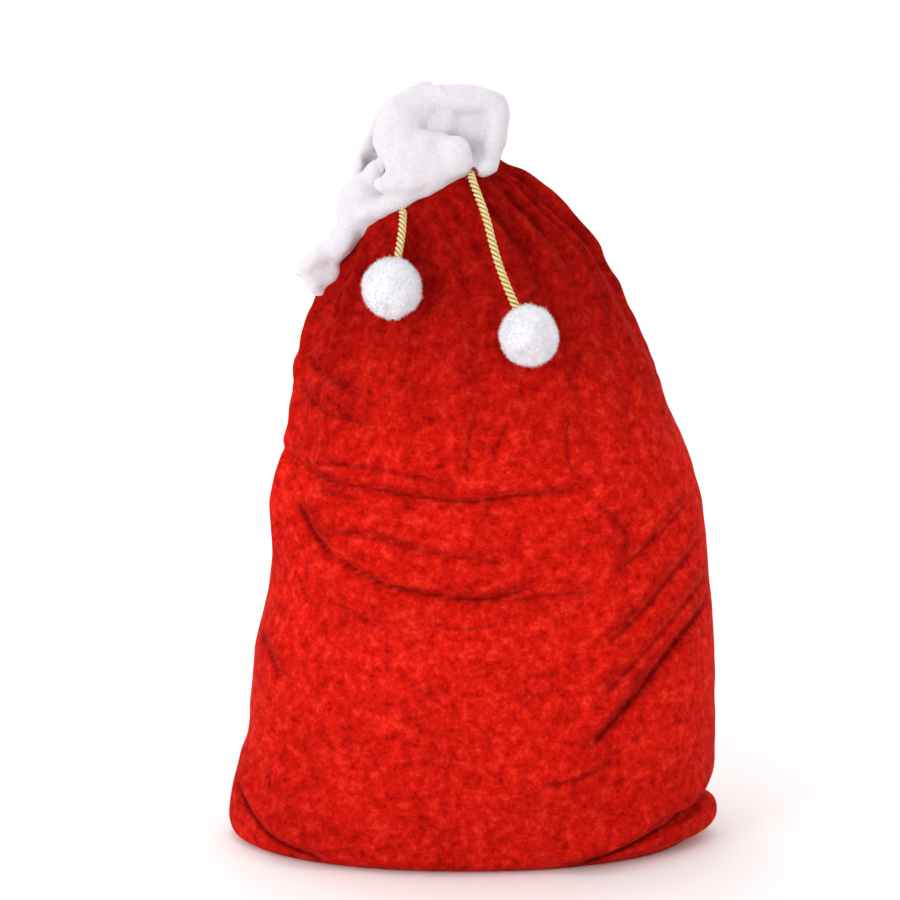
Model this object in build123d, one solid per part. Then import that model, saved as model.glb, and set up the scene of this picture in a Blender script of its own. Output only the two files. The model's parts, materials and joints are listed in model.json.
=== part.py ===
from build123d import *
import math
import os

# Fabric gift sack: a stuffed velvet sack with a gathered neck that leans to one side, a plush
# collar, and a drawstring whose two ends carry pom-poms.
# Millimetres, +Z up, front towards -Y. The origin is the centre of the base, on the ground.

# ---------------------------------------------------------------- driving dimensions
belly_half_width = 247.0      # half the width of the filled sack
belly_half_depth = 137.0      # half its depth, front to back
neck_height = 690.0           # ground to the centre of the collar seam
neck_offset = -40.0           # the collar seam's centre lies this far to the left
neck_lean = 27.6              # degrees that the neck leans to the left
neck_half_width = 92.0
neck_half_depth = 42.0

fabric_wall = 2.5             # velvet with its lining
seam_gap = 1.2                # thickness of the seam allowance pressed between two panels
seam_width = 9.0              # how far the seam allowance reaches inside
ear_reach = 4.0               # the bottom corners stand out past the belly at the seam
ear_foot = 7.0                # ground to the underside of a corner
ear_height = 38.0
ear_thickness = 14.0
ear_round = 14.0              # how much of a corner's tip is cut off at an angle
ear_bury = 1.3                # how far a corner reaches into the wall

shoulder_drop = 48.0          # the moving neck starts this far below the collar seam
part_clearance = 0.5          # between bodies that move past each other

channel_top = 5.0             # cord channel, measured down from the collar seam
channel_bottom = 31.0
channel_cloth = 1.5           # the tape that closes the channel
cord_diameter = 8.0
cord_play = 1.5               # room on each side of the cord in its channel

collar_height = 72.0
collar_flare = 13.0           # extra half width and depth at the collar's top edge
collar_pile = 9.0             # thickness of the plush band
collar_lining = 3.0           # the band's turned-in inner layer
COLLAR_STEPS = 4

left_hole_along = -41.0       # cord holes, along the neck from its centre
right_hole_along = 33.0
hole_play = 1.0               # radial room round the cord in its hole
hole_stitch_width = 2.0
hole_stitch_length = 7.0      # through the wall, along the hole
loop_stop = 12.0              # degrees round the neck that the loop leaves free beside a hole
loop_end = 4.0                # degrees that it leaves free at each side seam

pompom_radius = 29.0
pompom_pile = 8.0             # thickness of the pom-pom's cover
pompom_tilt = 40.0            # degrees that a pom-pom can tip away from the sack
knot_radius = 6.0
knot_play = 0.6               # radial room round the knot inside the pom-pom
knot_depth = 9.0              # knot centre below the top of the pom-pom
root_length = 7.0             # first stretch of each cord, inside its hole

# Each cord's route beyond its hole, as offsets from the hole's centre (x, y, z).
left_route = [(0.5, -16.5, -9.0), (-1.0, -33.0, -28.0), (-5.5, -48.5, -49.0)]
right_route = [(3.0, -16.5, -9.5), (15.0, -36.5, -38.0), (22.0, -50.0, -67.0),
               (32.0, -63.0, -97.0), (45.0, -74.5, -124.5)]

# ---------------------------------------------------------------- stations of the sack's shape
# Shares of neck_height (centre height) and belly_half_width (centre x, half width), share of
# belly_half_depth, and lean in degrees. The neck's own stations follow from the neck's sizes.
BODY_STATIONS = [
    (0.000, 0.000, 0.940, 0.880, 0.0),
    (0.024, 0.000, 0.986, 0.965, 0.0),
    (0.090, 0.002, 0.998, 1.000, 0.0),
    (0.196, 0.034, 0.972, 1.000, 0.0),
    (0.358, 0.070, 0.926, 0.990, 0.0),
    (0.513, 0.063, 0.868, 0.950, 3.0),
    (0.640, 0.008, 0.770, 0.870, 8.3),
    (0.803, -0.080, 0.620, 0.690, 15.4),
]
STEPS_BETWEEN = 2                # straight-sided bands from one station to the next
shoulder_extra = (22.0, 14.0)    # half width and depth that the neck gains at its foot
channel_extra = 3.0              # what it gains at the channel's lower edge


def section(x, z, half_w, half_d, lean):
    return {"x": x, "z": z, "w": half_w, "d": half_d, "lean": lean}


def neck_section(along_axis):
    """The neck's section at a distance along its leaning axis from the collar seam."""
    lean = math.radians(neck_lean)
    if along_axis >= -channel_bottom:
        share = -along_axis / channel_bottom
        more_w = more_d = channel_extra * share
    else:
        share = (-along_axis - channel_bottom) / (shoulder_drop - channel_bottom)
        more_w = channel_extra + (shoulder_extra[0] - channel_extra) * share
        more_d = channel_extra + (shoulder_extra[1] - channel_extra) * share
    return section(neck_offset - math.sin(lean) * along_axis,
                   neck_height + math.cos(lean) * along_axis,
                   neck_half_width + more_w, neck_half_depth + more_d, neck_lean)


def collar_section(along_axis):
    """The collar's section, flaring from the seam to its top edge."""
    lean = math.radians(neck_lean)
    more = collar_flare * math.sin(math.radians(90 * along_axis / collar_height))
    return section(neck_offset - math.sin(lean) * along_axis,
                   neck_height + math.cos(lean) * along_axis,
                   neck_half_width + more, neck_half_depth + more, neck_lean)


def smooth(p0, p1, p2, p3, t):
    """A Catmull-Rom value between p1 and p2."""
    return 0.5 * (2 * p1 + (p2 - p0) * t + (2 * p0 - 5 * p1 + 4 * p2 - p3) * t * t
                  + (3 * p1 - p0 - 3 * p2 + p3) * t ** 3)


def body_sections():
    """Sections from the ground to the foot of the moving neck, evenly filled in."""
    rows = [section(sx * belly_half_width, sz * neck_height, sw * belly_half_width,
                    sd * belly_half_depth, lean) for sz, sx, sw, sd, lean in BODY_STATIONS]
    rows.append(neck_section(-shoulder_drop - part_clearance))
    filled = []
    for i in range(len(rows) - 1):
        around = [rows[max(i - 1, 0)], rows[i], rows[i + 1], rows[min(i + 2, len(rows) - 1)]]
        for step in range(STEPS_BETWEEN):
            t = step / STEPS_BETWEEN
            filled.append({key: smooth(*[row[key] for row in around], t) for key in rows[0]})
    filled.append(rows[-1])
    return filled


def section_plane(row, shift_y=0.0):
    lean = math.radians(row["lean"])
    return Plane(origin=(row["x"], shift_y, row["z"]), x_dir=(math.cos(lean), 0, math.sin(lean)),
                 z_dir=(-math.sin(lean), 0, math.cos(lean)))


FRONT, BACK = -1, 1


def half_ring(row, side, gap, outer_inset, inner_inset):
    """Half of a section's wall, in front of or behind the side seams."""
    start = 180.0 if side == FRONT else 0.0
    wide, deep = row["w"] - outer_inset, row["d"] - outer_inset
    wide_in, deep_in = row["w"] - inner_inset, row["d"] - inner_inset
    rim = EllipticalCenterArc((0, 0), wide, deep, start_angle=start, arc_size=180.0)
    bore = EllipticalCenterArc((0, 0), wide_in, deep_in, start_angle=start, arc_size=180.0)
    wire = Wire([rim, Line(rim @ 1, bore @ 1), bore, Line(bore @ 0, rim @ 0)])
    return section_plane(row, side * gap / 2) * Face(wire)


def half_disc(row, side, gap, inset):
    start = 180.0 if side == FRONT else 0.0
    rim = EllipticalCenterArc((0, 0), row["w"] - inset, row["d"] - inset, start_angle=start,
                              arc_size=180.0)
    return section_plane(row, side * gap / 2) * Face(Wire([rim, Line(rim @ 1, rim @ 0)]))


def half_wall(rows, side, gap, outer_inset, inner_inset):
    """A wall through several sections, straight-sided from one to the next."""
    return loft([half_ring(row, side, gap, outer_inset, inner_inset) for row in rows], ruled=True)


def mixed(low, high, z):
    """The section at height z between two level sections."""
    t = (z - low["z"]) / (high["z"] - low["z"])
    return {key: low[key] + (high[key] - low[key]) * t for key in low}


def save(name, shape, colour):
    """One STEP file for one sub-part."""
    solids = shape.solids()
    part = Compound(children=solids) if len(solids) > 1 else solids[0]
    part.label = name
    part.color = Color(*colour)
    export_step(part, f"parts/{name}.step")
    print(f"{name}: {len(solids)} solid(s), {sum(s.volume for s in solids):.0f} mm3")


RED = (0.75, 0.05, 0.04)
WHITE = (0.93, 0.92, 0.93)
GOLD = (0.85, 0.75, 0.45)
THREAD = (0.55, 0.03, 0.03)

# ---------------------------------------------------------------- the sack: two panels, seams
sack_rows = body_sections()
floor_row = mixed(sack_rows[0], sack_rows[1], fabric_wall)
wall_rows = [floor_row] + sack_rows[1:]


def edge_point(row, side, inset):
    """Where a section meets the seam plane, on its left (-1) or right (+1)."""
    local = Vector(side * (row["w"] - inset), 0, 0)
    point = section_plane(row).from_local_coords(local)
    return (point.X, point.Z)


def seam_sheet(outline, low_y, high_y):
    """A flat sheet in the seam plane, from its outline (x, z)."""
    face = Plane.XZ * Face(Polyline(*outline, close=True))
    sheet = extrude(face, amount=high_y - low_y, dir=(0, 1, 0))
    return Pos(0, low_y, 0) * sheet


def ear_outline(side):
    """A bottom corner that stands out past the wall; its inner edge is buried in the wall."""
    low = ear_foot
    high = ear_foot + ear_height
    inner_edge = []
    for row in wall_rows:
        if low < row["z"] < high and row["lean"] == 0:
            inner_edge.append(edge_point(row, side, ear_bury))
    below = [r for r in sack_rows if r["z"] <= low][-1]
    above = sack_rows[sack_rows.index(below) + 1]
    first = edge_point(mixed(below, above, low), side, ear_bury)
    below = [r for r in sack_rows if r["z"] <= high][-1]
    above = sack_rows[sack_rows.index(below) + 1]
    last = edge_point(mixed(below, above, high), side, ear_bury)
    tip_x = side * (belly_half_width + ear_reach)
    return [first] + inner_edge + [last, (tip_x, high - ear_round), (tip_x, low + ear_round / 2)]


def panel(side):
    """One velvet panel: its half of the wall, of the floor and of the two bottom corners."""
    wall = half_wall(wall_rows, side, seam_gap, 0.0, fabric_wall)
    floor = loft([half_disc(sack_rows[0], side, seam_gap, 0.0),
                  half_disc(floor_row, side, seam_gap, 0.0)], ruled=True)
    shape = wall + floor
    for edge in (-1, 1):
        low_y, high_y = seam_gap / 2, ear_thickness / 2
        if side == FRONT:
            low_y, high_y = -high_y, -low_y
        shape = shape + seam_sheet(ear_outline(edge), low_y, high_y)
    return shape


def side_seam(side):
    """The seam allowance of one side, pressed between the panels' edges."""
    outside = [edge_point(row, side, 0.0) for row in wall_rows]
    inside = [edge_point(row, side, fabric_wall + seam_width) for row in wall_rows]
    strip = seam_sheet(outside + inside[::-1], -seam_gap / 2, seam_gap / 2)
    return strip + seam_sheet(ear_outline(side), -seam_gap / 2, seam_gap / 2)


def bottom_strip():
    """The bottom seam's allowance, standing up inside along the floor."""
    reach = floor_row["w"] - fabric_wall - seam_width - seam_gap
    lift = 0.3
    outline = [(-reach, lift), (reach, lift), (reach, fabric_wall + seam_width),
               (-reach, fabric_wall + seam_width)]
    return seam_sheet(outline, -seam_gap / 2, seam_gap / 2)


# ---------------------------------------------------------------- the neck and its cord channel
neck_gap = 2 * part_clearance


def neck_wall(side, rows_along, outer_inset, inner_inset):
    rows = [neck_section(along) for along in rows_along]
    return half_wall(rows, side, neck_gap, outer_inset, inner_inset)


channel_inset = fabric_wall + cord_diameter + 2 * cord_play


def channel_tape(side):
    """The tape that closes the cord channel inside the neck, with its two turned edges."""
    face = neck_wall(side, (-channel_bottom, -channel_top), channel_inset,
                     channel_inset + channel_cloth)
    low = neck_wall(side, (-channel_bottom, channel_cloth - channel_bottom), fabric_wall,
                    channel_inset)
    high = neck_wall(side, (-channel_top - channel_cloth, -channel_top), fabric_wall, channel_inset)
    return face + low + high


hole_level = -(channel_top + channel_bottom) / 2
hole_radius = cord_diameter / 2 + hole_play
stitch_radius = hole_radius + hole_stitch_width


def neck_point(along_width, inset):
    """A point on the front of the neck at the holes' level, inset from its outer surface."""
    row = neck_section(hole_level)
    half_w, half_d = row["w"] - inset, row["d"] - inset
    depth = half_d * math.sqrt(1 - (along_width / half_w) ** 2)
    return section_plane(row, -neck_gap / 2).from_local_coords(Vector(along_width, -depth, 0))


HOLES = {}
for side_name, hole_along, cord_route in (("left", left_hole_along, left_route),
                                          ("right", right_hole_along, right_route)):
    hole_centre = neck_point(hole_along, fabric_wall / 2)
    HOLES[side_name] = Plane(origin=hole_centre, z_dir=Vector(*cord_route[0]).normalized())


def neck_half(side):
    wall = neck_wall(side, (-shoulder_drop, -channel_bottom, 0.0), 0.0, fabric_wall)
    if side == FRONT:
        for plane in HOLES.values():
            wall = wall - plane * Cylinder(stitch_radius, 4 * fabric_wall)
    return wall


def buttonhole(side_name):
    """The stitched ring that edges one cord hole."""
    ring = Cylinder(stitch_radius, hole_stitch_length) - Cylinder(hole_radius, hole_stitch_length)
    return HOLES[side_name] * ring


# ---------------------------------------------------------------- the collar: plush, lining
def collar_wall(side, outer_inset, inner_inset):
    rows = [collar_section(collar_height * step / COLLAR_STEPS) for step in range(COLLAR_STEPS + 1)]
    return half_wall(rows, side, neck_gap, outer_inset, inner_inset)


# ---------------------------------------------------------------- cords
def cord_tube(points, name):
    """Straight runs joined by the largest arcs that they allow, swept with the cord's section."""
    points = [Vector(p) for p in points]
    radii = []
    for before, corner, after in zip(points, points[1:], points[2:]):
        run_in = corner - before
        run_out = after - corner
        turn = math.radians(run_in.get_angle(run_out))
        radii.append(0.45 * min(run_in.length, run_out.length) / math.tan(turn / 2))
    path = FilletPolyline(*points, radius=radii) if radii else Line(*points)
    plane = Plane(origin=path @ 0, z_dir=path % 0)
    tube = sweep(plane * Circle(cord_diameter / 2), path=path)
    section = math.pi * (cord_diameter / 2) ** 2
    print(f"{name}: length {path.length:.1f}, radii {[round(r, 1) for r in radii]}, "
          f"volume against section x length {tube.volume / (section * path.length):.4f}")
    return tube


def loop_point(degrees, side):
    """The cord's centre line round the neck, inside the channel; 0 is right, -90 is front."""
    inset = fabric_wall + cord_play + cord_diameter / 2
    row = neck_section(hole_level)
    angle = math.radians(degrees)
    local = Vector((row["w"] - inset) * math.cos(angle), (row["d"] - inset) * math.sin(angle), 0)
    return section_plane(row, side * neck_gap / 2).from_local_coords(local)


def loop_arc(first, last, steps, side, name):
    angles = [first + (last - first) * i / steps for i in range(steps + 1)]
    return cord_tube([loop_point(angle, side) for angle in angles], name)


def hole_angle(along):
    """Angle on the loop at which the cord turns out into its hole."""
    inset = fabric_wall + cord_play + cord_diameter / 2
    return -math.degrees(math.acos(along / (neck_section(hole_level)["w"] - inset)))


def front_loop():
    left = loop_arc(loop_end - 180, hole_angle(left_hole_along) - loop_stop, 4, FRONT, "loop left")
    right = loop_arc(hole_angle(right_hole_along) + loop_stop, -loop_end, 4, FRONT, "loop right")
    return Compound(children=[left, right])


def back_loop():
    return loop_arc(loop_end, 180 - loop_end, 12, BACK, "loop back")


def tail(side, route):
    """Root, tail, knot, pom-pom cover and filling of one end of the cord."""
    plane = HOLES[side]
    centre = plane.origin
    root_start = centre - plane.z_dir * (root_length / 2)
    root_end = centre + plane.z_dir * (root_length / 2)
    root = cord_tube([root_start, root_end], f"{side} root")
    points = [root_end] + [centre + Vector(*p) for p in route]
    end = points[-1]
    down = (points[-1] - points[-2]).normalized()
    tube = cord_tube(points, f"{side} tail")
    knot_centre = end + down * knot_radius
    neck_of_knot = Plane(origin=end, z_dir=down) * Pos(0, 0, knot_radius / 2) * Cylinder(
        cord_diameter / 2, knot_radius)
    knot = Pos(knot_centre) * Sphere(knot_radius) + neck_of_knot
    ball_centre = knot_centre + down * (pompom_radius - knot_depth)
    ball = Pos(ball_centre) * Sphere(pompom_radius)
    pocket = Pos(knot_centre) * Sphere(knot_radius + knot_play)
    mouth_angle = math.radians(pompom_tilt)
    mouth_plane = Plane(origin=knot_centre, z_dir=down * -1)
    mouth_height = knot_depth + 2 * knot_radius
    mouth_foot = (cord_diameter / 2 + knot_play) / math.cos(mouth_angle)
    # The opening widens upwards, so that the ball can tip round the cord.
    mouth = mouth_plane * Pos(0, 0, mouth_height / 2) * Cone(
        mouth_foot, mouth_foot + mouth_height * math.tan(mouth_angle), mouth_height)
    core_radius = pompom_radius - pompom_pile
    core = Pos(ball_centre) * Sphere(core_radius)
    cover = ball - core - pocket - mouth
    filling = Pos(ball_centre) * Sphere(core_radius - 0.2) - pocket - mouth
    print(f"{side}: hole {tuple(round(c, 1) for c in centre)}, knot "
          f"{tuple(round(c, 1) for c in knot_centre)}, ball "
          f"{tuple(round(c, 1) for c in ball_centre)}, down {tuple(round(c, 4) for c in down)}")
    print(f"{side}: hole axis {tuple(round(c, 4) for c in plane.z_dir)}")
    return root, tube, knot, cover, filling


os.makedirs("parts", exist_ok=True)
for name, side in (("front", FRONT), ("back", BACK)):
    save(f"{name}_panel", panel(side), RED)
    save(f"neck_{name}", neck_half(side), RED)
    save(f"channel_tape_{name}", channel_tape(side), RED)
    save(f"collar_{name}", collar_wall(side, 0.0, collar_pile), WHITE)
    save(f"collar_lining_{name}", collar_wall(side, collar_pile, collar_pile + collar_lining), WHITE)
save("side_seam_left", side_seam(-1), THREAD)
save("side_seam_right", side_seam(1), THREAD)
save("bottom_seam", bottom_strip(), THREAD)
save("cord_loop_front", front_loop(), GOLD)
save("cord_loop_back", back_loop(), GOLD)
for name, route in (("left", left_route), ("right", right_route)):
    save(f"buttonhole_{name}", buttonhole(name), THREAD)
    root, tube, knot, cover, filling = tail(name, route)
    save(f"{name}_cord_root", root, GOLD)
    save(f"{name}_cord_tail", tube, GOLD)
    save(f"{name}_cord_knot", knot, GOLD)
    save(f"{name}_pompom_cover", cover, WHITE)
    save(f"{name}_pompom_filling", filling, WHITE)
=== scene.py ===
import json
import math

import bmesh
import bpy
import numpy as np
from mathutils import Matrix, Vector


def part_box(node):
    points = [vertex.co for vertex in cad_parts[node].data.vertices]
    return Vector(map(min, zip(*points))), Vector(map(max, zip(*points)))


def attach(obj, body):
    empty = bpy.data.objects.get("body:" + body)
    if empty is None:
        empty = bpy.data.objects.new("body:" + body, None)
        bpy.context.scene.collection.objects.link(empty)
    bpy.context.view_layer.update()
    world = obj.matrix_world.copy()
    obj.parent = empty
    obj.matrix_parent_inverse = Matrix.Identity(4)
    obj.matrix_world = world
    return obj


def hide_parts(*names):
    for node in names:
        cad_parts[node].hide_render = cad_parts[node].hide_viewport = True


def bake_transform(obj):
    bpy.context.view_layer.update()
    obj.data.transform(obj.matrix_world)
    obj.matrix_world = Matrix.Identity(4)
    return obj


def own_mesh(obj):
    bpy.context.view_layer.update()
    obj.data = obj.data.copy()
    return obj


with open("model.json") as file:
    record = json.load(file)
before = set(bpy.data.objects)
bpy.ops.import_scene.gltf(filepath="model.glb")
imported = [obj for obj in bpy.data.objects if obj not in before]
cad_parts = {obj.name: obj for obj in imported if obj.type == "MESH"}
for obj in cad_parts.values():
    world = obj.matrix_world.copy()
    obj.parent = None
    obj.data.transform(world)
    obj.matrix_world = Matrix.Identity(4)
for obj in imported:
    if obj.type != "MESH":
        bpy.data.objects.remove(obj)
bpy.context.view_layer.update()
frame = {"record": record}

# A stuffed velvet sack with a gathered neck. Metres, front towards -Y, +Z up, on the ground.
MM = 0.001
LEAN = math.radians(27.6)                        # the neck leans to the left
NECK = np.array((-0.040, 0.0, 0.690))            # the cuts and bends are measured from here
NECK_AXIS = np.array((-math.sin(LEAN), 0.0, math.cos(LEAN)))
NECK_WIDE = np.array((math.cos(LEAN), 0.0, math.sin(LEAN)))


def neck_frame(points):
    """Each point's distance along the neck's width and along its axis."""
    q = np.asarray(points) - NECK
    return q @ NECK_WIDE, q @ NECK_AXIS


# ------------------------------------------------------------------ camera, lights, floor
CAMERA_TARGET = (-0.022, 0.0, 0.405)
CAMERA_DISTANCE = 2.8
CAMERA_ELEVATION = math.radians(12.0)
SEEN_WIDTH = 0.905               # metres across the frame at the sack
SENSOR_WIDTH = 36.0
WORLD_STRENGTH = 1.04
FLOOR_GREY = 0.965
FLOOR_REACH = 6.0                # from the middle to each edge


def look_at(obj, target):
    direction = Vector(target) - obj.location
    obj.rotation_euler = direction.to_track_quat("-Z", "Y").to_euler()


def add_camera():
    data = bpy.data.cameras.new("camera")
    data.sensor_width = SENSOR_WIDTH
    data.lens = data.sensor_width * CAMERA_DISTANCE / SEEN_WIDTH
    camera = bpy.data.objects.new("camera", data)
    x, y, z = CAMERA_TARGET
    camera.location = (x, y - CAMERA_DISTANCE * math.cos(CAMERA_ELEVATION),
                       z + CAMERA_DISTANCE * math.sin(CAMERA_ELEVATION))
    bpy.context.scene.collection.objects.link(camera)
    look_at(camera, CAMERA_TARGET)
    bpy.context.scene.camera = camera


def area_light(name, place, target, size, power):
    data = bpy.data.lights.new(name, "AREA")
    data.size = size
    data.energy = power
    light = bpy.data.objects.new(name, data)
    light.location = place
    bpy.context.scene.collection.objects.link(light)
    look_at(light, target)


def add_studio():
    world = bpy.data.worlds.new("studio")
    bpy.context.scene.world = world
    world.use_nodes = True
    world.node_tree.nodes["Background"].inputs["Color"].default_value = (1.0, 1.0, 1.0, 1.0)
    world.node_tree.nodes["Background"].inputs["Strength"].default_value = WORLD_STRENGTH
    area_light("key", (-1.7, -2.0, 1.1), (0, 0, 0.35), 1.0, 24)
    area_light("top", (-0.3, 0.6, 2.4), (0, 0, 0.5), 1.4, 6)
    bpy.context.scene.view_settings.view_transform = "Standard"
    floor_mesh = bpy.data.meshes.new("floor")
    corners = [(x * FLOOR_REACH, y * FLOOR_REACH, 0) for x, y in ((-1, -1), (1, -1), (1, 1), (-1, 1))]
    floor_mesh.from_pydata(corners, [], [(0, 1, 2, 3)])
    floor = bpy.data.objects.new("floor", floor_mesh)
    bpy.context.scene.collection.objects.link(floor)
    material = bpy.data.materials.new("floor")
    material.use_nodes = True
    shader = material.node_tree.nodes["Principled BSDF"]
    shader.inputs["Base Color"].default_value = (FLOOR_GREY, FLOOR_GREY, FLOOR_GREY, 1)
    shader.inputs["Roughness"].default_value = 0.9
    floor_mesh.materials.append(material)


# ------------------------------------------------------------------ materials
def new_material(name):
    material = bpy.data.materials.new(name)
    material.use_nodes = True
    nodes, links = material.node_tree.nodes, material.node_tree.links
    shader = nodes["Principled BSDF"]
    place = nodes.new("ShaderNodeTexCoord").outputs["Object"]
    return material, nodes, links, shader, place


def noise(nodes, links, place, scale, detail=3.0, roughness=0.55, distortion=0.0):
    node = nodes.new("ShaderNodeTexNoise")
    node.inputs["Scale"].default_value = scale
    node.inputs["Detail"].default_value = detail
    node.inputs["Roughness"].default_value = roughness
    node.inputs["Distortion"].default_value = distortion
    links.new(place, node.inputs["Vector"])
    return node.outputs["Fac"]


def ramp(nodes, links, value, stops):
    node = nodes.new("ShaderNodeValToRGB")
    elements = node.color_ramp.elements
    while len(elements) < len(stops):
        elements.new(0.5)
    for element, (position, colour) in zip(elements, stops):
        element.position = position
        element.color = (*colour, 1)
    links.new(value, node.inputs["Fac"])
    return node.outputs["Color"]


def bump(nodes, links, shader, value, strength, distance, before=None):
    node = nodes.new("ShaderNodeBump")
    node.inputs["Strength"].default_value = strength
    node.inputs["Distance"].default_value = distance
    links.new(value, node.inputs["Height"])
    if before is not None:
        links.new(before, node.inputs["Normal"])
    links.new(node.outputs["Normal"], shader.inputs["Normal"])
    return node.outputs["Normal"]


def multiply_colours(nodes, links, a, b):
    node = nodes.new("ShaderNodeMix")
    node.data_type = "RGBA"
    node.blend_type = "MULTIPLY"
    node.inputs["Factor"].default_value = 1.0
    # A mix node has sockets for each kind of data: 6 and 7 are its two colours, 2 its result.
    links.new(a, node.inputs[6])
    links.new(b, node.inputs[7])
    return node.outputs[2]


def velvet_material():
    """Crushed velvet: fine flecks of pile lying different ways, with painted shade along the creases
    and towards the neck.
    """
    material, nodes, links, shader, place = new_material("velvet")
    wide = noise(nodes, links, place, 17.0, 3.0, 0.6, 0.2)
    crushed = noise(nodes, links, place, 88.0, 9.0, 0.80)
    base = ramp(nodes, links, crushed, [(0.36, (0.26, 0.0020, 0.0008)), (0.44, (0.48, 0.005, 0.0020)),
                                        (0.53, (0.63, 0.009, 0.0035)), (0.64, (0.78, 0.034, 0.018))])
    drift = ramp(nodes, links, wide, [(0.32, (0.84, 0.78, 0.78)), (0.60, (1.0, 1.0, 1.0))])
    tinted = multiply_colours(nodes, links, base, drift)
    split = nodes.new("ShaderNodeSeparateXYZ")
    links.new(place, split.inputs["Vector"])
    # Painted shade by height: darker near the ground and towards the neck, where the cloth is gathered.
    height = ramp(nodes, links, split.outputs["Z"], [(0.05, (0.88, 0.84, 0.84)), (0.16, (1, 1, 1)),
                                                     (0.40, (1, 1, 1)), (0.58, (0.55, 0.42, 0.42))])
    height_shaded = multiply_colours(nodes, links, tinted, height)
    # Painted shade in the creases, from the amount stored on each vertex.
    crease = nodes.new("ShaderNodeAttribute")
    crease.attribute_name = "crease"
    crease_shade = ramp(nodes, links, crease.outputs["Fac"], [(0.0, (1, 1, 1)), (1.0, (0.24, 0.14, 0.14))])
    links.new(multiply_colours(nodes, links, height_shaded, crease_shade), shader.inputs["Base Color"])
    shader.inputs["Roughness"].default_value = 0.85
    shader.inputs["Specular IOR Level"].default_value = 0.04
    shader.inputs["Sheen Weight"].default_value = 0.12
    shader.inputs["Sheen Roughness"].default_value = 0.30
    shader.inputs["Sheen Tint"].default_value = (1.0, 0.08, 0.03, 1)
    grain = noise(nodes, links, place, 800.0, 2.0, 0.7)
    first = bump(nodes, links, shader, crushed, 0.40, 0.003)
    bump(nodes, links, shader, grain, 0.25, 0.0006, first)
    return material


def pile_material(name, light, shade, scale):
    """White pile, with painted shade in its hollows."""
    material, nodes, links, shader, place = new_material(name)
    tufts = noise(nodes, links, place, scale, 4.0, 0.7)
    # Painted shade: the darker colour lies in the low spots of the tufts.
    colour = ramp(nodes, links, tufts, [(0.30, shade), (0.62, light)])
    links.new(colour, shader.inputs["Base Color"])
    shader.inputs["Roughness"].default_value = 0.95
    shader.inputs["Specular IOR Level"].default_value = 0.1
    shader.inputs["Sheen Weight"].default_value = 0.15
    shader.inputs["Sheen Roughness"].default_value = 0.5
    shader.inputs["Subsurface Weight"].default_value = 0.25
    shader.inputs["Subsurface Radius"].default_value = (0.012, 0.010, 0.010)
    shader.inputs["Subsurface Scale"].default_value = 0.5
    bump(nodes, links, shader, tufts, 0.5, 0.0015)
    return material


def cord_material():
    """Pale gold satin yarn with olive shadows where the strands meet."""
    material, nodes, links, shader, place = new_material("cord")
    threads = noise(nodes, links, place, 900.0, 3.0, 0.6)
    colour = ramp(nodes, links, threads, [(0.30, (0.46, 0.33, 0.09)), (0.50, (0.68, 0.54, 0.22)),
                                          (0.72, (0.86, 0.78, 0.46))])
    strand_shade = nodes.new("ShaderNodeAttribute")
    strand_shade.attribute_name = "strand_shade"
    shade = ramp(nodes, links, strand_shade.outputs["Fac"], [(0.30, (1, 1, 1)), (0.62, (0.30, 0.26, 0.10))])
    links.new(multiply_colours(nodes, links, colour, shade), shader.inputs["Base Color"])
    shader.inputs["Roughness"].default_value = 0.40
    shader.inputs["Specular IOR Level"].default_value = 0.5
    bump(nodes, links, shader, threads, 0.4, 0.0004)
    return material


def thread_material(name, dark, light, scale):
    """Stitching thread or woven tape, dull, with a fine grain."""
    material, nodes, links, shader, place = new_material(name)
    weave = noise(nodes, links, place, scale, 2.0, 0.6)
    links.new(ramp(nodes, links, weave, [(0.35, dark), (0.65, light)]), shader.inputs["Base Color"])
    shader.inputs["Roughness"].default_value = 0.8
    bump(nodes, links, shader, weave, 0.5, 0.0006)
    return material


# ------------------------------------------------------------------ mesh helpers
def mesh_object(name, verts, faces, material):
    mesh = bpy.data.meshes.new(name)
    mesh.from_pydata([tuple(v) for v in verts], [], [tuple(f) for f in faces])
    mesh.polygons.foreach_set("use_smooth", [True] * len(mesh.polygons))
    mesh.materials.append(material)
    obj = bpy.data.objects.new(name, mesh)
    bpy.context.scene.collection.objects.link(obj)
    return obj


def apply_modifiers(obj):
    bpy.context.view_layer.update()
    graph = bpy.context.evaluated_depsgraph_get()
    made = bpy.data.meshes.new_from_object(obj.evaluated_get(graph))
    made.polygons.foreach_set("use_smooth", [True] * len(made.polygons))
    obj.modifiers.clear()
    old = obj.data
    obj.data = made
    bpy.data.meshes.remove(old)


def vertex_value(obj, name, values):
    """Store one number for each vertex, for a material to read."""
    attribute = obj.data.attributes.new(name, "FLOAT", "POINT")
    attribute.data.foreach_set("value", values)


def waves(points, seed, count, wavelength, stretch=(1.0, 1.0, 1.0)):
    """Smooth random relief between about -1 and 1, from crossed waves near one wavelength."""
    rng = np.random.default_rng(seed)
    total = np.zeros(len(points))
    scaled = points / np.array(stretch)
    for _ in range(count):
        direction = rng.normal(size=3)
        direction /= np.linalg.norm(direction)
        length = wavelength * rng.uniform(0.65, 1.6)
        total += np.sin(scaled @ direction * 2 * math.pi / length + rng.uniform(0, 2 * math.pi))
    return total / math.sqrt(count)


def catmull(rows, per_span):
    """Rows of numbers, filled in smoothly between the given ones."""
    rows = np.array(rows, float)
    padded = np.vstack([2 * rows[0] - rows[1], rows, 2 * rows[-1] - rows[-2]])
    filled = []
    for i in range(len(rows) - 1):
        p0, p1, p2, p3 = padded[i:i + 4]
        for step in range(per_span):
            t = step / per_span
            filled.append(0.5 * (2 * p1 + (p2 - p0) * t + (2 * p0 - 5 * p1 + 4 * p2 - p3) * t ** 2
                                 + (3 * p1 - p0 - 3 * p2 + p3) * t ** 3))
    filled.append(rows[-1])
    return np.array(filled)


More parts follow.
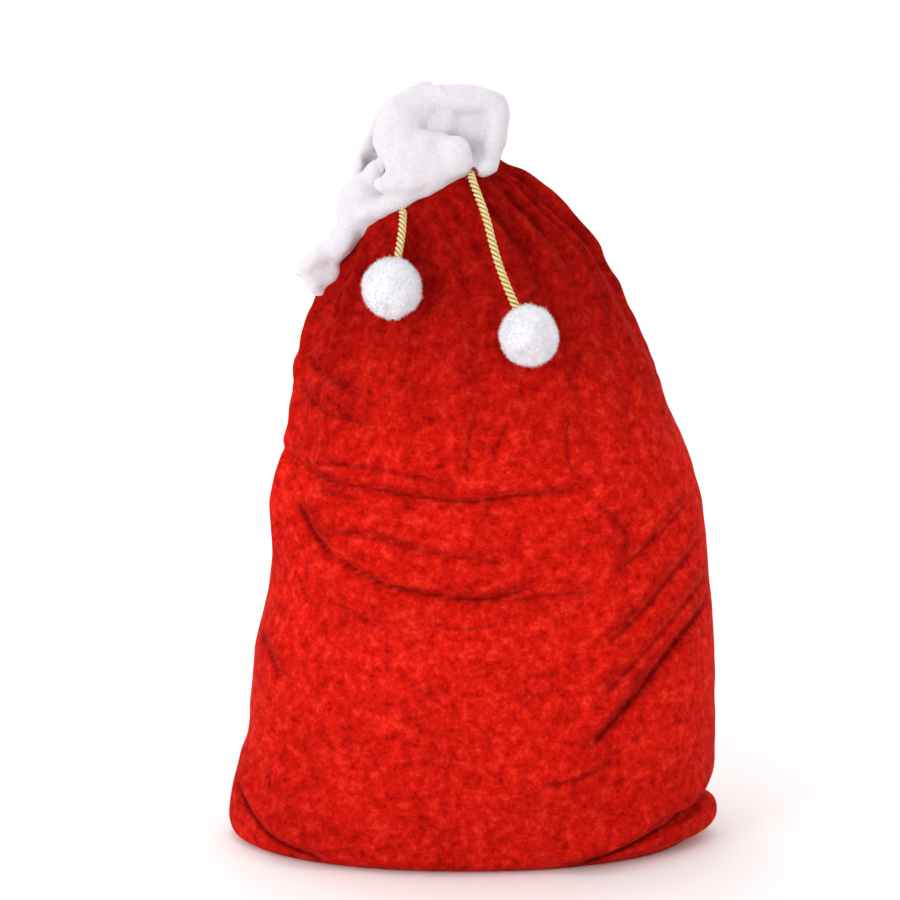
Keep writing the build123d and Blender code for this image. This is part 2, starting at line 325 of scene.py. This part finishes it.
def smoothstep(low, high, value):
    """0 at low and 1 at high, with a soft start and end; low may be the larger one."""
    t = np.clip((value - low) / (high - low), 0, 1)
    return t * t * (3 - 2 * t)


# ------------------------------------------------------------------ cutting for the moving mouth
# Each side of a mesh is cut across the neck into its middle and two flanks.
MIDDLE = 0.046                   # half width of the middle part


def blend_piece(obj):
    """Bake the piece's place into its mesh."""
    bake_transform(obj)


def cut_for_mouth(source, name, nodes):
    """Cut one mesh into front and back, each into its middle and two flanks, keeping its shading."""
    mesh = source.data
    bm = bmesh.new()
    bm.from_mesh(mesh)
    planes = [(NECK + NECK_WIDE * MIDDLE, NECK_WIDE), (NECK - NECK_WIDE * MIDDLE, NECK_WIDE),
              (np.zeros(3), np.array((0.0, 1.0, 0.0)))]
    for point, normal in planes:
        geometry = bm.verts[:] + bm.edges[:] + bm.faces[:]
        bmesh.ops.bisect_plane(bm, geom=geometry, dist=1e-6, plane_co=Vector(point),
                               plane_no=Vector(normal))
    bm.normal_update()
    bm.verts.index_update()
    verts = np.array([v.co for v in bm.verts])
    normals = np.array([v.normal for v in bm.verts])
    faces = [[v.index for v in f.verts] for f in bm.faces]
    centres = np.array([f.calc_center_median() for f in bm.faces])
    bm.free()
    across, _ = neck_frame(centres)
    flank_of = np.where(across > MIDDLE, 1, np.where(across < -MIDDLE, -1, 0))
    names = {-1: "left", 0: "middle", 1: "right"}
    made = []
    for side, chosen in (("front", centres[:, 1] < 0), ("back", centres[:, 1] >= 0)):
        for flank in (-1, 0, 1):
            index = np.nonzero(chosen & (flank_of == flank))[0]
            used = sorted({v for i in index for v in faces[i]})
            number = {v: n for n, v in enumerate(used)}
            piece = mesh_object(f"{name}_{side}_{names[flank]}", verts[used],
                                [[number[v] for v in faces[i]] for i in index],
                                mesh.materials[0])
            piece.data.normals_split_custom_set_from_vertices([tuple(n) for n in normals[used]])
            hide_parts(*nodes[side])
            blend_piece(piece)
            made.append(piece)
    bpy.data.objects.remove(source)
    return made


# ------------------------------------------------------------------ the velvet sack
# Outline of the filled sack at its side seams: left x, left z, right x, right z, then how far the
# front and the back stand out, all in millimetres.
OUTLINE = [
    (-236, 1, 222, 1, 116, 118),
    (-246, 8, 232, 8, 127, 128),
    (-249, 22, 248, 18, 134, 133),
    (-247, 42, 249, 36, 137, 135),
    (-244, 58, 233, 50, 138, 136),
    (-238, 84, 246, 70, 139, 137),
    (-232, 108, 249, 104, 139, 137),
    (-229, 150, 249, 150, 139, 137),
    (-222, 205, 248, 205, 138, 136),
    (-209, 252, 245, 255, 136, 135),
    (-200, 300, 239, 303, 133, 133),
    (-199, 355, 232, 350, 130, 130),
    (-192, 394, 219, 402, 127, 127),
    (-185, 425, 200, 448, 121, 122),
    (-181, 465, 184, 493, 112, 115),
    (-170, 523, 158, 540, 100, 104),
    (-155, 556, 135, 584, 86, 92),
    (-143, 578, 112, 620, 73, 79),
    (-133, 598, 84, 649, 62, 67),
    (-125, 612, 57, 673, 54, 57),
    (-119, 626, 33, 691, 49, 51),
    (-112, 642, 22, 708, 43, 45),
]
BASE_RINGS = (0.12, 0.4, 0.7, 0.9)   # rings of the underside, as shares of its outline
COLUMNS = 432
ROWS_PER_SPAN = 15
ROUNDNESS = 0.94                     # 1 is an ellipse in plan; less is squarer
GROUND_GAP = 0.0006
# Gathers at the neck: how many go round it, and how strong they are.
GATHERS = ((15, 1.0), (24, 0.8), (37, 0.45))

# Creases of the front, as points (x, z) in millimetres from left to right, then how deep they are,
# their half width, and how far the cloth above them hangs over.
CREASE_STEPS = 6                     # smooth points for each given one
CREASES = [
    ([(-184, 412), (-144, 394), (-89, 388), (-12, 380), (47, 387), (112, 390)], 6, 5, 6),
    ([(-150, 411), (-89, 409), (-15, 398)], 2, 5, 0),
    ([(-150, 384), (-132, 379), (-108, 377)], 3, 5, 2),
    ([(-142, 346), (-89, 340), (-39, 329), (35, 321)], 4, 5, 3),
    ([(-140, 322), (-112, 306), (-78, 294), (-12, 285), (30, 288), (60, 300)], 7, 5, 6),
    ([(36, 284), (70, 288), (118, 289)], 2, 4, 1),
    ([(-173, 366), (-158, 342), (-140, 318)], 9, 8, 5),
    ([(-132, 274), (-106, 260), (-78, 250)], 1.5, 4, 0),
    ([(-44, 262), (-10, 256), (30, 262)], 1.5, 5, 0),
    ([(-64, 200), (-40, 190), (-14, 189)], 1.5, 4, 0),
    ([(-216, 226), (-202, 206), (-190, 188)], 4, 6, 2),
    ([(-172, 512), (-140, 490), (-108, 476)], 4, 6, 3),
    ([(-176, 478), (-140, 458), (-96, 450)], 3, 6, 2),
    ([(2, 468), (-4, 440), (-6, 404)], 3, 4, 0),
    ([(34, 460), (26, 440), (22, 424)], 2.5, 4, 0),
    ([(94, 462), (90, 436), (96, 404)], 2, 4, 0),
    ([(116, 132), (158, 176), (198, 222), (240, 258)], 9, 8, 7),
    ([(124, 182), (160, 216), (205, 260), (240, 286)], 4, 7, 4),
    ([(130, 236), (160, 258), (195, 294), (228, 326)], 4, 7, 3),
    ([(140, 306), (172, 330), (215, 366)], 3, 6, 2),
    ([(120, 376), (146, 350), (150, 322)], 3, 7, 0),
    ([(70, 96), (100, 100), (140, 116)], 3, 7, 0),
    ([(-246, 70), (-222, 38), (-198, 20), (-150, 9)], 8, 6, 6),
    ([(96, 2), (152, 20), (197, 38), (244, 53)], 10, 7, 9),
]
# Creases of the back, in the same way.
BACK_CREASES = [
    ([(-150, 330), (-90, 306), (-10, 300), (80, 312), (150, 340)], 6, 6, 6),
    ([(-160, 430), (-100, 414), (-30, 410)], 4, 6, 4),
    ([(40, 432), (100, 420), (160, 424)], 4, 6, 4),
    ([(-220, 120), (-160, 150), (-110, 196)], 6, 7, 5),
    ([(120, 90), (170, 110), (225, 150)], 6, 7, 5),
]


def distance_to_line(x, z, line):
    """Distance to a line of points, and how far above it (+) or below it (-)."""
    best = np.full(len(x), 1e9)
    above = np.zeros(len(x))
    for (x0, z0), (x1, z1) in zip(line, line[1:]):
        dx, dz = x1 - x0, z1 - z0
        t = np.clip(((x - x0) * dx + (z - z0) * dz) / (dx * dx + dz * dz), 0, 1)
        away = np.hypot(x - x0 - t * dx, z - z0 - t * dz)
        side = ((z - z0) * dx - (x - x0) * dz) / math.hypot(dx, dz)
        nearer = away < best
        best = np.where(nearer, away, best)
        above = np.where(nearer, side, above)
    return best, above


def share_along(x, z, line):
    """How far along a crease each point is, from 0 at its left end to 1 at its right."""
    run = np.array(line[-1], float) - np.array(line[0], float)
    return ((x - line[0][0]) * run[0] + (z - line[0][1]) * run[1]) / (run @ run)


def crease_relief(x, z, line, depth, width, hang):
    """A crease: a groove that fades at its ends, with the cloth above it bulging over."""
    away, above = distance_to_line(x, z, catmull(line, CREASE_STEPS))
    share = share_along(x, z, line)
    fade = smoothstep(-0.12, 0.16, share) * smoothstep(1.12, 0.80, share)
    groove = -depth * np.exp(-(away / width) ** 2)
    over = hang * np.exp(-((above - 2.2 * width) / (1.6 * width)) ** 2)
    under = -0.35 * hang * np.exp(-((above + 2.6 * width) / (2.0 * width)) ** 2)
    near = np.exp(-(np.maximum(away - np.abs(above), 0) / (2 * width)) ** 2)
    return fade * (groove + (over + under) * near)


def painted_crease_shade(points):
    """How much painted shade each point of the velvet gets in its creases and under the cloth that
    hangs over them, from 0 to 1.
    """
    x, y, z = points.T / MM
    dark = np.zeros(len(points))
    sides = [(smoothstep(0, -40, y), row) for row in CREASES]
    sides += [(smoothstep(0, 40, y), row) for row in BACK_CREASES]
    for facing, (line, depth, width, hang) in sides:
        away, above = distance_to_line(x, z, catmull(line, CREASE_STEPS))
        share = share_along(x, z, line)
        fade = smoothstep(-0.10, 0.14, share) * smoothstep(1.10, 0.84, share)
        strength = min(1.0, 0.45 + depth / 16)
        thin = strength * np.exp(-(away / (0.42 * width)) ** 2)
        soft = 0.5 * strength * np.exp(-((above - 0.9 * width) / (1.2 * width)) ** 2)
        soft *= np.exp(-(np.maximum(away - 2.4 * width, 0) / width) ** 2) * (hang > 0)
        patchy = np.clip(0.72 + 0.45 * waves(points, 51, 20, 0.035), 0.15, 1.0)
        dark = np.maximum(dark, facing * fade * np.maximum(thin, soft * patchy))
    return dark


def velvet_relief(points, angle):
    """How far each point of the velvet stands in or out, in metres."""
    x, y, z = points.T / MM
    _, along = neck_frame(points)
    upper = smoothstep(330, 520, z)
    relief = 2.2 * waves(points, 3, 14, 0.17) + (0.5 + 1.0 * upper) * waves(points, 5, 18, 0.055)
    relief += (0.12 + 0.3 * upper) * waves(points, 8, 24, 0.022)
    front = smoothstep(0, -40, y)
    for line, depth, width, hang in CREASES:
        relief += front * crease_relief(x, z, line, depth, width, hang)
    # A soft upright edge where the contents end, right of the middle.
    edge = np.exp(-((x - 128) / 14) ** 2)
    relief += front * 3.0 * edge * smoothstep(120, 200, z) * smoothstep(500, 420, z)
    # The back has its own long folds.
    back = smoothstep(0, 40, y)
    for line, depth, width, hang in BACK_CREASES:
        relief += back * crease_relief(x, z, line, depth, width, hang)
    relief += back * 2.6 * waves(points, 21, 8, 0.11, (1.6, 1.0, 0.7))
    # Gathers run down from the neck and fade on the shoulders.
    rng = np.random.default_rng(11)
    gather = np.zeros(len(points))
    for count, share in GATHERS:
        phase = rng.uniform(0, 2 * math.pi)
        gather += share * np.sin(count * angle + phase + 0.9 * np.sin(2 * angle + count))
    tight = 2.0 * smoothstep(-0.18, -0.06, along) * smoothstep(-0.020, -0.052, along)
    relief += gather * (tight + 2.6 * smoothstep(-0.38, -0.12, along) * smoothstep(-0.01, -0.06, along))
    settle = smoothstep(0.0, 24.0, z)
    return relief * settle * MM


def sack_rings():
    """The outline's rows with the underside's rings before them, in metres."""
    rows = catmull(OUTLINE, ROWS_PER_SPAN) * MM
    first = rows[0]
    middle = (first[0] + first[2]) / 2
    rings = []
    for scale in BASE_RINGS:
        ring = first.copy()
        ring[0] = middle + (first[0] - middle) * scale
        ring[2] = middle + (first[2] - middle) * scale
        ring[4:6] = first[4:6] * scale
        rings.append(ring)
    rings.extend(rows)
    return rings


def smooth_sack(material):
    """The sack before its folds, its points, and each point's angle round it."""
    rings = sack_rings()
    angles = np.linspace(0, 2 * math.pi, COLUMNS, endpoint=False)
    c, s = np.cos(angles), np.sin(angles)
    across = np.sign(c) * np.abs(c) ** ROUNDNESS
    verts = []
    for left_x, left_z, right_x, right_z, front, back in rings:
        x = (left_x + right_x) / 2 + across * (right_x - left_x) / 2
        z = (left_z + right_z) / 2 + across * (right_z - left_z) / 2
        y = np.where(s < 0, s * front, s * back)
        verts.append(np.stack([x, y, z], 1))
    verts = np.concatenate(verts)
    faces = []
    for i in range(len(rings) - 1):
        for j in range(COLUMNS):
            k = (j + 1) % COLUMNS
            a, b = i * COLUMNS, (i + 1) * COLUMNS
            faces.append((a + j, a + k, b + k, b + j))
    faces.append(tuple(range(COLUMNS - 1, -1, -1)))
    return mesh_object("velvet_whole", verts, faces, material), verts, np.tile(angles, len(rings))


def build_velvet(material):
    sack, verts, ring_angle = smooth_sack(material)
    normals = np.zeros(len(sack.data.vertices) * 3)
    sack.data.vertices.foreach_get("normal", normals)
    normals = normals.reshape(-1, 3)
    moved = verts + normals * velvet_relief(verts, ring_angle)[:, None]
    moved[:, 2] = np.maximum(moved[:, 2], GROUND_GAP)
    sack.data.vertices.foreach_set("co", moved.ravel())
    sack.data.update()
    nodes = {"front": ("front_panel", "neck_front", "side_seam_left", "bottom_seam"),
             "back": ("back_panel", "neck_back", "side_seam_right")}
    pieces = cut_for_mouth(sack, "velvet", nodes)
    for piece in pieces:
        points = np.array([v.co for v in piece.data.vertices])
        # Store the creases' painted shade on each vertex.
        vertex_value(piece, "crease", painted_crease_shade(points))


# ------------------------------------------------------------------ the plush collar
COLLAR = np.array((-0.047, 0.0, 0.668))   # centre of the band's ring
VOXEL = 2.6 * MM
SMOOTHING = (0.6, 16)                     # factor and rounds, after the remesh


def band_point(across, along, out):
    """A point of the leaning band, from millimetres; out is towards the front."""
    return COLLAR + (NECK_WIDE * across + NECK_AXIS * along) * MM + np.array((0, -out * MM, 0))


def lobe(centre, size, turn):
    """One soft fold: a flattened ball at (x, z, out) in millimetres, turned in the front view."""
    rings, columns = 20, 30
    power = 0.85                     # less than 1 makes its outline squarer than an ellipse
    verts, faces = [], []
    a = math.radians(turn)
    for i in range(rings + 1):
        phi = math.pi * i / rings
        for j in range(columns):
            theta = 2 * math.pi * j / columns
            u = math.sin(phi) * math.cos(theta)
            w = math.cos(phi)
            u, w = (math.copysign(abs(value) ** power, value) for value in (u, w))
            p, q = u * size[0], w * size[1]
            y = math.sin(phi) * math.sin(theta) * size[2]
            x, z = p * math.cos(a) - q * math.sin(a), p * math.sin(a) + q * math.cos(a)
            verts.append(np.array((centre[0] + x, -centre[2] - y, centre[1] + z)) * MM)
    for i in range(rings):
        for j in range(columns):
            k = (j + 1) % columns
            faces.append((i * columns + j, i * columns + k, (i + 1) * columns + k,
                          (i + 1) * columns + j))
    return verts, faces


# Top edge of the band round the mouth: degrees round the neck (0 right, 90 back, 180 left,
# 270 front), height above the ring's centre, half width and half depth of the ring there.
BAND = [
    (0, 32, 92, 32), (35, 58, 92, 40), (65, 84, 76, 42), (95, 82, 62, 40), (130, 56, 66, 38),
    (158, 28, 78, 34), (180, 12, 82, 32), (205, 10, 82, 36), (235, 14, 78, 40), (262, 16, 76, 42),
    (290, 14, 76, 42), (318, 12, 76, 40), (340, 18, 82, 36), (360, 32, 92, 32),
]
BAND_FOOT = -4.0                 # height of its lower edge, and the half width and depth there
FOOT_WIDE = 78
FOOT_DEEP = 42
BAND_THICK = 12.0
BAND_BULGE = 6                   # how far it swells between its two edges, front and back


def build_band():
    """The plush band round the mouth, closed and rounded at its top edge."""
    rows = catmull(BAND, 12)[:-1]
    profile = [(share, 0.5) for share in np.linspace(0, 1, 9)]
    for turn in np.linspace(20, 160, 6):
        a = math.radians(turn)
        profile.append((1 + 0.07 * math.sin(a), 0.5 * math.cos(a)))
    profile += [(share, -0.5) for share in np.linspace(1, 0, 9)]
    verts, faces = [], []
    for degrees, top, wide, deep in rows:
        a = math.radians(degrees)
        ruffle = 3.0 * math.sin(9 * a + 0.6) + 2.0 * math.sin(14 * a + 2.0)
        for share, layer in profile:
            spread = min(share, 1.0)
            w = FOOT_WIDE + (wide - FOOT_WIDE) * spread ** 0.8 + layer * BAND_THICK + ruffle * spread
            d = FOOT_DEEP + (deep - FOOT_DEEP) * spread + layer * BAND_THICK
            d += ruffle * spread + BAND_BULGE * math.sin(math.pi * spread)
            along = BAND_FOOT + share * (top - BAND_FOOT)
            verts.append(band_point(w * math.cos(a), along, -d * math.sin(a)))
    n, m = len(rows), len(profile)
    for i in range(n):
        k = (i + 1) % n
        for j in range(m):
            after = (j + 1) % m
            faces.append((i * m + j, i * m + after, k * m + after, k * m + j))
    return verts, faces


# Folds of the band, seen from the front, in millimetres and degrees: centre (x, z, how far out),
# half sizes along, across and out, and turn.
LOBES = [
    ((-14, 706, 48), (14, 21, 13), 12),        # rounded tongue over the mouth
    ((-56, 684, 46), (42, 14, 13), 11),        # long fold, its lower edge over the velvet
    ((-52, 706, 38), (36, 22, 17), 14),        # the face above it, towards the tongue
    ((-72, 728, 24), (23, 36, 22), -14),       # left face of the hood
    ((-2, 726, 8), (32, 34, 16), 0),           # the recess behind the tongue
    ((-32, 734, 16), (22, 22, 13), 0),         # its left side
    ((-16, 758, 16), (50, 14, 18), -2),        # top roll
    ((-54, 750, 14), (22, 20, 20), -16),       # its left shoulder
    ((24, 742, 12), (14, 18, 20), -8),         # its right corner
    ((20, 716, 14), (12, 36, 22), -10),        # right wall
    ((13, 694, 34), (13, 10, 12), 20),         # foot of the right wall
    ((-46, 768, 4), (9, 8, 8), 0),             # small peak
    ((-93, 682, 16), (14, 17, 16), 0),         # where the hood meets the left end
    ((-108, 653, 16), (24, 33, 18), -12),      # left end of the band
    ((-90, 655, 33), (26, 9, 11), 26),         # its turned edge at the cord
    ((-126, 622, 20), (14, 26, 17), -30),      # left fold, down over the shoulder
    ((-150, 604, 18), (31, 9, 12), 38),        # far left tip
    ((-158, 580, 16), (23, 8, 11), -55),       # its underside
    ((-145, 588, 14), (17, 17, 11), 0),        # between them
]


def build_collar(material):
    """The band and its folds, run together into one plush surface and then cut."""
    verts, faces = build_band()
    for centre, size, turn in LOBES:
        lobe_verts, lobe_faces = lobe(centre, size, turn)
        start = len(verts)
        verts.extend(lobe_verts)
        faces.extend([tuple(start + i for i in face) for face in lobe_faces])
    collar = mesh_object("collar_whole", verts, faces, material)
    bpy.context.view_layer.objects.active = collar
    remesh = collar.modifiers.new("remesh", "REMESH")
    remesh.mode = "VOXEL"
    remesh.voxel_size = VOXEL
    smooth = collar.modifiers.new("smooth", "SMOOTH")
    smooth.factor, smooth.iterations = SMOOTHING
    apply_modifiers(collar)
    mesh = collar.data
    points = np.array([v.co for v in mesh.vertices])
    normals = np.array([v.normal for v in mesh.vertices])
    relief = (0.8 * waves(points, 31, 14, 0.03) + 0.25 * waves(points, 33, 24, 0.010)) * MM
    mesh.vertices.foreach_set("co", (points + normals * relief[:, None]).ravel())
    mesh.update()
    nodes = {"front": ("collar_front", "collar_lining_front"),
             "back": ("collar_back", "collar_lining_back")}
    for piece in cut_for_mouth(collar, "collar", nodes):
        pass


# ------------------------------------------------------------------ inside the neck's channel
CHANNEL = np.array((-0.045, 0.0, 0.655))
CHANNEL_REACH = 0.040            # either way from the middle, inside the velvet's middle part
CHANNEL_TURNS = 49               # sections along a strip
LOOP_RADIUS = 0.0038
LOOP_RING = (0.066, 0.030)       # half width and half depth
TAPE_RING = (0.060, 0.024)
TAPE_HALF = (0.0005, 0.013)      # half thickness and half height


def channel_strip(name, sign, ring, section, material, node, body):
    """A strip of one section laid round the inside of the neck, on one side of it."""
    half_width, half_depth = ring
    limit = math.asin(CHANNEL_REACH / half_width)
    turns = np.linspace(-limit, limit, CHANNEL_TURNS)
    verts, faces = [], []
    for turn in turns:
        for out, up in section:
            towards = sign * (half_depth + out) * math.cos(turn)
            verts.append(CHANNEL + NECK_WIDE * (half_width + out) * math.sin(turn) + NECK_AXIS * up
                         + np.array((0, towards, 0)))
    m = len(section)
    for i in range(len(turns) - 1):
        for j in range(m):
            k = (j + 1) % m
            faces.append((i * m + j, i * m + k, (i + 1) * m + k, (i + 1) * m + j))
    faces.append(tuple(range(m - 1, -1, -1)))
    faces.append(tuple(range((len(turns) - 1) * m, len(turns) * m)))
    strip = mesh_object(name, verts, faces, material)
    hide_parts(node)
    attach(strip, body)


def build_channel(cord, tape):
    """The two halves of the drawstring's loop and of the tape that it runs behind."""
    round_section = [(LOOP_RADIUS * math.cos(a), LOOP_RADIUS * math.sin(a))
                     for a in np.linspace(0, 2 * math.pi, 16, endpoint=False)]
    thin, tall = TAPE_HALF
    flat_section = [(-thin, -tall), (thin, -tall), (thin, tall), (-thin, tall)]
    for side, sign in (("front", -1), ("back", 1)):
        channel_strip(f"drawstring_{side}", sign, LOOP_RING, round_section, cord,
                      f"cord_loop_{side}", f"mouth_{side}")
        channel_strip(f"tape_{side}", sign, TAPE_RING, flat_section, tape,
                      f"channel_tape_{side}", f"mouth_{side}")


# ------------------------------------------------------------------ cords and pom-poms
# Each cord's hole, as its centre and the way out of it, and the route's points from that centre.
HOLES = {"left": ((-0.06800, -0.03859, 0.65505), (0.0266, -0.8776, -0.4787)),
         "right": ((-0.00242, -0.04020, 0.68934), (0.1556, -0.8561, -0.4929))}
ROUTES = {"left": [(0.0005, -0.0165, -0.0090), (-0.0010, -0.0330, -0.0280),
                   (-0.0055, -0.0485, -0.0490)],
          "right": [(0.0030, -0.0165, -0.0095), (0.0150, -0.0365, -0.0380),
                    (0.0220, -0.0500, -0.0670), (0.0320, -0.0630, -0.0970),
                    (0.0450, -0.0745, -0.1245)]}
ROOT_HALF = 0.0035               # the route starts this far inside the hole's centre
CORD = 0.008                     # diameter of the circle round the strands
STRANDS = 3
STRAND_SIDES = 16
STRAND_OFFSET = 0.47 * CORD / 2  # from the cord's line to the middle of a strand
STRAND_RADIUS = 0.53 * CORD / 2
LAY = 0.0165                     # length of one full turn of the twist
CORD_STEP = 0.0008               # between rings along a strand
LOOSE_LENGTH = 0.045             # the strands loosen over this length, down to the knot
LOOSENED = {"left": 0.03, "right": 0.10}


def route_line(side):
    """Points along the cord's smooth line."""
    hole, axis = (np.array(v) for v in HOLES[side])
    points = [hole - axis * ROOT_HALF, hole + axis * ROOT_HALF]
    points += [hole + np.array(p) for p in ROUTES[side]]
    curve = bpy.data.curves.new(f"{side}_route", "CURVE")
    curve.dimensions = "3D"
    curve.resolution_u = 24
    spline = curve.splines.new("NURBS")
    spline.points.add(len(points) - 1)
    for point, place in zip(spline.points, points):
        point.co = (*place, 1)
    spline.order_u = 3
    spline.use_endpoint_u = True
    obj = bpy.data.objects.new(f"{side}_route", curve)
    bpy.context.scene.collection.objects.link(obj)
    bpy.context.view_layer.update()
    mesh = bpy.data.meshes.new_from_object(obj)
    line = np.array([v.co for v in mesh.vertices])
    bpy.data.objects.remove(obj)
    bpy.data.meshes.remove(mesh)
    return line


def even_points(line, step):
    """Evenly spaced points along a line, and how far along it each is."""
    lengths = np.concatenate([[0], np.cumsum(np.linalg.norm(np.diff(line, axis=0), axis=1))])
    count = max(8, int(lengths[-1] / step))
    marks = np.linspace(0, lengths[-1], count)
    return np.stack([np.interp(marks, lengths, line[:, i]) for i in range(3)], 1), marks


def build_cord(side, material):
    """Strands twisted round the route, the line that they follow, and its length."""
    line = route_line(side)
    points, marks = even_points(line, CORD_STEP)
    tangents = np.gradient(points, axis=0)
    tangents /= np.linalg.norm(tangents, axis=1)[:, None]
    u = np.cross(tangents, (1.0, 0.0, 0.0))
    u /= np.linalg.norm(u, axis=1)[:, None]
    v = np.cross(tangents, u)
    around = STRAND_SIDES
    loosen = smoothstep(marks[-1] - LOOSE_LENGTH, marks[-1], marks) * LOOSENED[side]
    verts, faces, hollows = [], [], []
    for strand in range(STRANDS):
        base = len(verts)
        for p, cu, cv, mark, more in zip(points, u, v, marks, loosen):
            turn = -2 * math.pi * (mark / LAY + strand / STRANDS)
            middle = p + (cu * math.cos(turn) + cv * math.sin(turn)) * STRAND_OFFSET * (1 + more)
            for k in range(around):
                a = 2 * math.pi * k / around
                verts.append(middle + (cu * math.cos(a) + cv * math.sin(a)) * STRAND_RADIUS)
                # Painted shade on the side of each strand that faces the cord's middle.
                hollows.append(0.5 - 0.5 * math.cos(a - turn))
        for i in range(len(points) - 1):
            for k in range(around):
                n = (k + 1) % around
                faces.append((base + i * around + k, base + i * around + n,
                              base + (i + 1) * around + n, base + (i + 1) * around + k))
        faces.append(tuple(base + k for k in range(around - 1, -1, -1)))
        last = base + (len(points) - 1) * around
        faces.append(tuple(last + k for k in range(around)))
    obj = mesh_object(f"{side}_cord", verts, faces, material)
    vertex_value(obj, "strand_shade", hollows)
    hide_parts(f"{side}_cord_root", f"{side}_cord_tail")
    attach(obj, f"{side}_tail")
    return obj, line, marks[-1]


# Hairs of a pom-pom: how many, how long and wide, how far they lean, and how far a root strays.
HAIRS = 9000
HAIR_LENGTH = 0.0028
HAIR_WIDTH = 0.0005
HAIR_LEAN = 0.5
ROOT_SPREAD = 0.0006
BALL_SHARE = 0.955               # the ball under the hairs, as a share of the cover's radius
BALL_SEED = {"left": 41, "right": 43}


def fibres(points, normals, seed):
    """Short tapered hairs standing on a surface, each a single thin triangle."""
    rng = np.random.default_rng(seed)
    pick = rng.integers(0, len(points), HAIRS)
    roots = points[pick] + rng.normal(scale=ROOT_SPREAD, size=(HAIRS, 3))
    lean = normals[pick] + rng.normal(scale=HAIR_LEAN, size=(HAIRS, 3))
    lean /= np.linalg.norm(lean, axis=1)[:, None]
    side = np.cross(lean, rng.normal(size=(HAIRS, 3)))
    side /= np.linalg.norm(side, axis=1)[:, None]
    sizes = HAIR_LENGTH * rng.uniform(0.55, 1.2, HAIRS)[:, None]
    a = roots - side * HAIR_WIDTH / 2 - lean * sizes * 0.2
    b = roots + side * HAIR_WIDTH / 2 - lean * sizes * 0.2
    c = roots + lean * sizes
    verts = np.stack([a, b, c], 1).reshape(-1, 3)
    faces = np.arange(HAIRS * 3).reshape(-1, 3)
    return verts, faces


def build_pompom(side, material):
    """A lumpy ball of pile that fills its cover's place, with hairs all over."""
    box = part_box(f"{side}_pompom_cover")
    centre = (np.array(box[0]) + np.array(box[1])) / 2
    radius = (box[1][0] - box[0][0]) / 2
    bm = bmesh.new()
    bmesh.ops.create_icosphere(bm, subdivisions=6, radius=1.0)
    unit = np.array([v.co for v in bm.verts])
    faces = [[v.index for v in f.verts] for f in bm.faces]
    bm.free()
    seed = BALL_SEED[side]
    relief = 0.035 * waves(unit, seed, 10, 1.6) + 0.016 * waves(unit, seed + 1, 20, 0.5)
    relief += 0.010 * waves(unit, seed + 2, 40, 0.16)
    points = centre + unit * (radius * (BALL_SHARE + relief))[:, None]
    hairs, hair_faces = fibres(points, unit, seed)
    faces.extend((hair_faces + len(points)).tolist())
    obj = mesh_object(f"{side}_pompom", np.vstack([points, hairs]), faces, material)
    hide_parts(f"{side}_pompom_cover", f"{side}_pompom_filling")
    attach(obj, f"{side}_pompom")
    return obj


def build_drawstring(cord, pile):
    for side in ("left", "right"):
        pompom = build_pompom(side, pile)
        strand, line, length = build_cord(side, cord)
        hole = np.array(HOLES[side][0])
        axis = line[-1] - hole
        axis /= np.linalg.norm(axis)
        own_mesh(strand)


# ------------------------------------------------------------------ everything
def finish_nodes(finishes):
    """Give each CAD node the material of its slot."""
    for row in frame["record"]["subparts"]:
        obj = bpy.data.objects.get(row["node"])
        if obj is not None and obj.type == "MESH":
            for material_slot in obj.material_slots:
                material_slot.material = finishes[row["material_slot"]]


add_camera()
add_studio()
velvet = velvet_material()
plush = pile_material("plush", (0.70, 0.675, 0.715), (0.62, 0.575, 0.61), 420.0)
pompom_pile = pile_material("pompom_pile", (0.86, 0.85, 0.88), (0.76, 0.74, 0.78), 520.0)
gold = cord_material()
thread = thread_material("thread", (0.25, 0.006, 0.005), (0.5, 0.02, 0.015), 900.0)
tape = thread_material("tape", (0.32, 0.01, 0.008), (0.55, 0.02, 0.015), 1200.0)
lining = pile_material("lining", (0.72, 0.70, 0.73), (0.64, 0.60, 0.63), 420.0)
finishes = {"seam_thread": thread, "channel_tape": tape, "cord": gold, "velvet": velvet,
            "plush": plush, "collar_lining": lining, "pompom_pile": pompom_pile,
            "pompom_core": pompom_pile}
finish_nodes(finishes)
build_velvet(velvet)
build_collar(plush)
build_channel(gold, tape)
build_drawstring(gold, pompom_pile)
